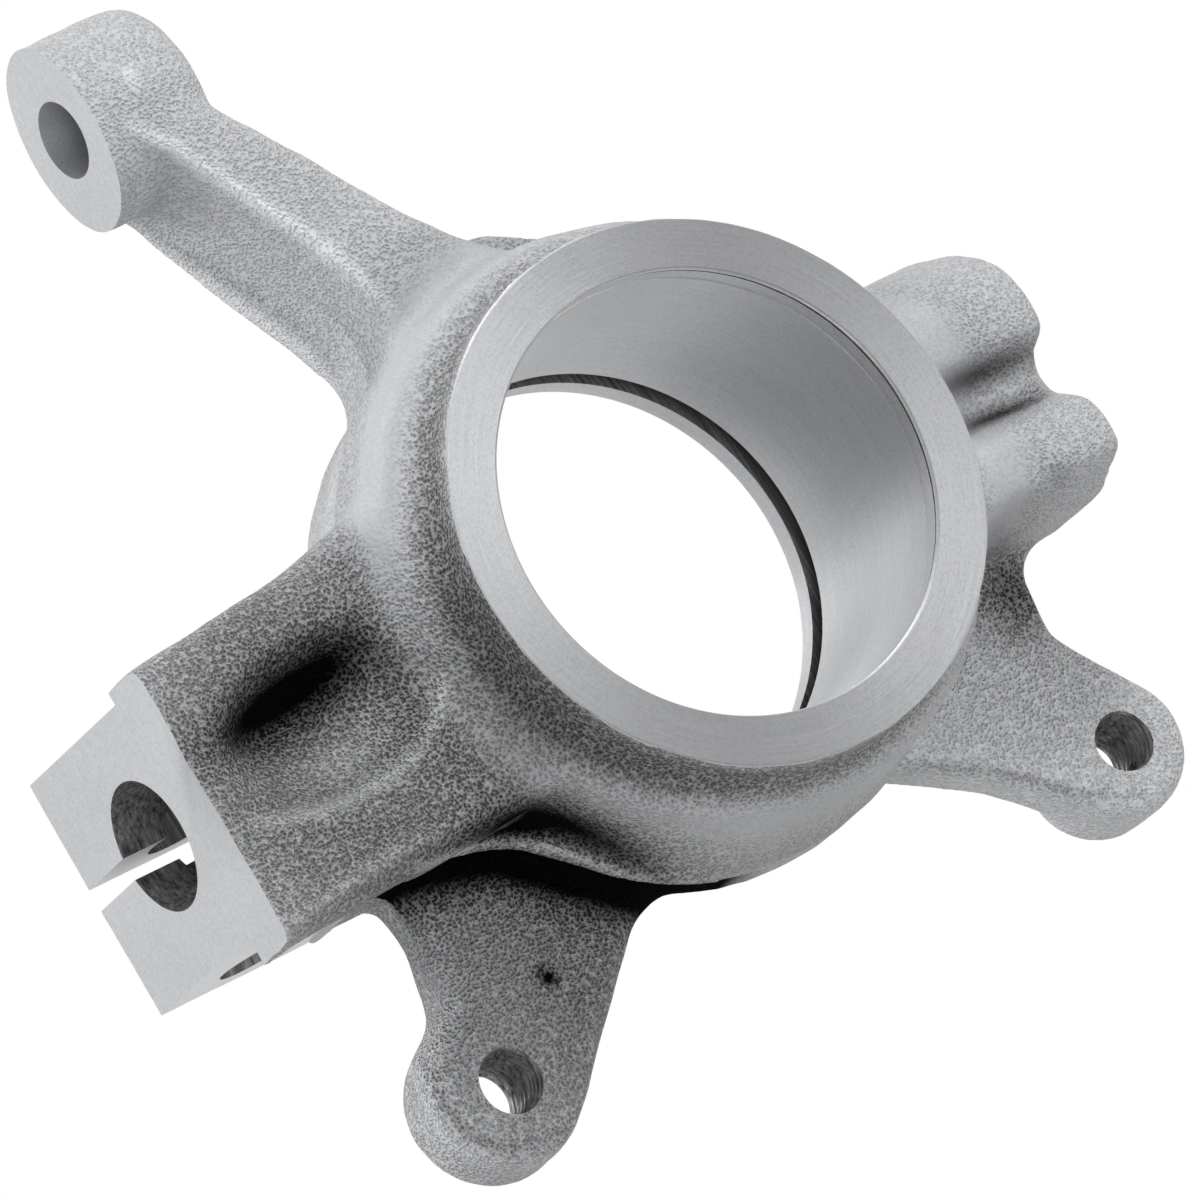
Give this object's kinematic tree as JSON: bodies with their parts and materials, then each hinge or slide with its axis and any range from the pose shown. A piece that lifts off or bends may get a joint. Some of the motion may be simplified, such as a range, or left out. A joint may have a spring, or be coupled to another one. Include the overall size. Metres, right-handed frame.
{
  "type": "steering knuckle",
  "caption": "Cast iron steering knuckle: wheel bearing hub with a steering arm, lower and upper pinch clamps and two set-back caliper ears.",
  "frame": {"origin": "on the wheel axis, in the plane of the machined near face of the bearing ring", "axes": "+Y along the wheel axis from the near ring face to the far end of the hub, +Z from the wheel axis to the upper clamp, +X towards the two caliper ears; the steering arm points to -X"},
  "size_m": [0.1874, 0.0551, 0.1706],
  "materials": {
    "cast_iron": "grainy as cast skin, bright where machined"
  },
  "bodies": {
    "root": {"steering_knuckle": "cast_iron"}
  },
  "joints": []
}
